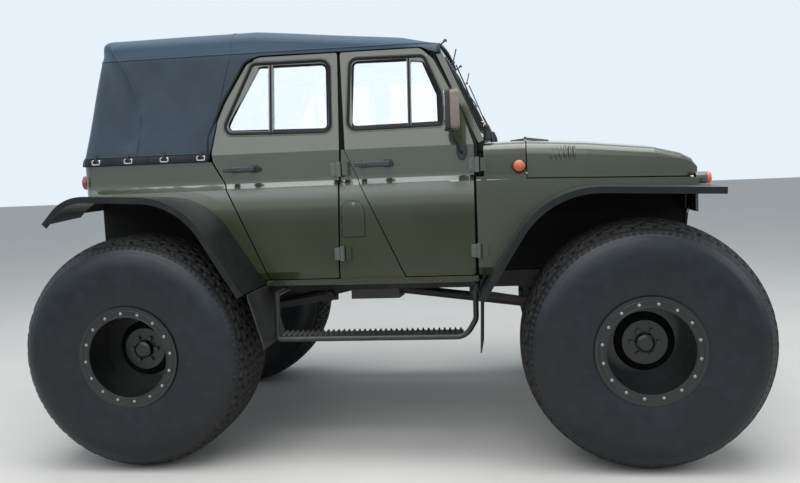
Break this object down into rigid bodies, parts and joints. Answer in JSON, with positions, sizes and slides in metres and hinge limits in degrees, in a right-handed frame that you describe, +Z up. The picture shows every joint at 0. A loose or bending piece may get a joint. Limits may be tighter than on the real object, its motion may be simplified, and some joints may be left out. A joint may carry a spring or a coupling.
{
  "type": "lifted off-road 4x4",
  "caption": "Lifted open-topped off-road car with a canvas top, wide wheel flares, side steps and huge balloon tyres; doors, hood, tailgate, steering and wheels move.",
  "frame": {"origin": "on the ground, midway between the axles and between the wheels", "axes": "+X towards the front, +Y towards the left side, +Z up"},
  "size_m": [4.096, 2.444, 2.47],
  "materials": {
    "chassis_black": "matte",
    "paint": "gloss",
    "dash_plastic": "matte",
    "glass": "clear",
    "cast": "rough",
    "galvanised": "dull",
    "flare_plastic": "matte",
    "seat_vinyl": "satin",
    "lamp_glass": "clear",
    "amber": "gloss",
    "mirror_shell": "matte",
    "flap_rubber": "matte",
    "black_steel": "satin",
    "step_steel": "satin",
    "canvas": "matte",
    "red": "gloss",
    "tyre_rubber": "matte"
  },
  "bodies": {
    "chassis": {"bumpers": "chassis_black", "cowl": "paint", "dashboard": "dash_plastic", "engine_and_gearbox": "cast", "exhaust": "galvanised", "fenders": "paint", "flares": "flare_plastic", "floor_pan": "paint", "frame_rails": "chassis_black", "front_axle": "cast", "front_seats": "seat_vinyl", "fuel_tank": "chassis_black", "grille_panel": "paint", "headlamps": "lamp_glass", "indicators": "amber", "mud_flaps": "flap_rubber", "parking_lamps": "paint", "propshafts": "chassis_black", "quarter_panels": "paint", "radius_arms": "chassis_black", "rear_axle": "cast", "rear_bench": "seat_vinyl", "rear_drawbar": "chassis_black", "rear_tub": "paint", "roof_frame": "chassis_black", "side_frames": "paint", "side_steps": "step_steel", "soft_top": "canvas", "springs": "chassis_black", "tail_lamps": "red", "windscreen_frame": "paint", "windscreen_glass": "glass"},
    "wheel_front_left": {"tyre_front_left": "tyre_rubber", "rim_front_left": "black_steel"},
    "wheel_front_right": {"tyre_front_right": "tyre_rubber", "rim_front_right": "black_steel"},
    "wheel_rear_left": {"tyre_rear_left": "tyre_rubber", "rim_rear_left": "black_steel"},
    "wheel_rear_right": {"tyre_rear_right": "tyre_rubber", "rim_rear_right": "black_steel"},
    "knuckle_left": {"knuckle_left": "cast"},
    "knuckle_right": {"knuckle_right": "cast"},
    "tie_rod": {"tie_rod": "chassis_black"},
    "steering_wheel": {"steering_wheel": "dash_plastic"},
    "door_front_left": {"door_front_left": "paint", "door_glass_front_left": "glass", "mirror_left": "mirror_shell"},
    "door_rear_left": {"door_rear_left": "paint", "door_glass_rear_left": "glass"},
    "door_front_right": {"door_front_right": "paint", "door_glass_front_right": "glass", "mirror_right": "mirror_shell"},
    "door_rear_right": {"door_rear_right": "paint", "door_glass_rear_right": "glass"},
    "hood": {"hood": "paint"},
    "tailgate": {"tailgate": "paint"}
  },
  "joints": [
    {"name": "steer_left", "type": "hinge", "parent": "chassis", "child": "knuckle_left", "pos_m": [1.393, 0.75, 0.655], "axis": [0, 0, 1], "range_deg": [-25, 25]},
    {"name": "steer_right", "type": "hinge", "parent": "chassis", "child": "knuckle_right", "pos_m": [1.393, -0.75, 0.655], "axis": [0, 0, 1], "range_deg": [-25, 25]},
    {"name": "tie_rod_pivot", "type": "hinge", "parent": "knuckle_left", "child": "tie_rod", "pos_m": [1.273, 0.75, 0.525], "axis": [0, 0, 1], "range_deg": [-25, 25]},
    {"name": "spin_front_left", "type": "hinge", "parent": "knuckle_left", "child": "wheel_front_left", "pos_m": [1.393, 0.924, 0.655], "axis": [0, 1, 0], "continuous": true},
    {"name": "spin_front_right", "type": "hinge", "parent": "knuckle_right", "child": "wheel_front_right", "pos_m": [1.393, -0.924, 0.655], "axis": [0, 1, 0], "continuous": true},
    {"name": "spin_rear_left", "type": "hinge", "parent": "chassis", "child": "wheel_rear_left", "pos_m": [-1.393, 0.924, 0.655], "axis": [0, 1, 0], "continuous": true},
    {"name": "spin_rear_right", "type": "hinge", "parent": "chassis", "child": "wheel_rear_right", "pos_m": [-1.393, -0.924, 0.655], "axis": [0, 1, 0], "continuous": true},
    {"name": "steering_wheel_turn", "type": "hinge", "parent": "chassis", "child": "steering_wheel", "pos_m": [0.3, 0.38, 1.6], "axis": [-0.848, 0, 0.5299], "range_deg": [-450, 450]},
    {"name": "door_front_left_swing", "type": "hinge", "parent": "chassis", "child": "door_front_left", "pos_m": [0.532, 0.884, 1.39], "axis": [0, 0, -1], "range_deg": [0, 70]},
    {"name": "door_rear_left_swing", "type": "hinge", "parent": "chassis", "child": "door_rear_left", "pos_m": [-0.236, 0.884, 1.39], "axis": [0, 0, -1], "range_deg": [0, 70]},
    {"name": "door_front_right_swing", "type": "hinge", "parent": "chassis", "child": "door_front_right", "pos_m": [0.532, -0.884, 1.39], "axis": [0, 0, 1], "range_deg": [0, 70]},
    {"name": "door_rear_right_swing", "type": "hinge", "parent": "chassis", "child": "door_rear_right", "pos_m": [-0.236, -0.884, 1.39], "axis": [0, 0, 1], "range_deg": [0, 70]},
    {"name": "hood_lift", "type": "hinge", "parent": "chassis", "child": "hood", "pos_m": [0.803, 0, 1.767], "axis": [0, -1, 0], "range_deg": [0, 60]},
    {"name": "tailgate_drop", "type": "hinge", "parent": "chassis", "child": "tailgate", "pos_m": [-1.794, 0, 1.126], "axis": [0, -1, 0], "range_deg": [0, 88]}
  ],
  "couplings": [
    {"joint": "steer_right", "follows": "steer_left", "ratio": 1},
    {"joint": "tie_rod_pivot", "follows": "steer_left", "ratio": -1},
    {"joint": "steering_wheel_turn", "follows": "steer_left", "ratio": 18}
  ]
}
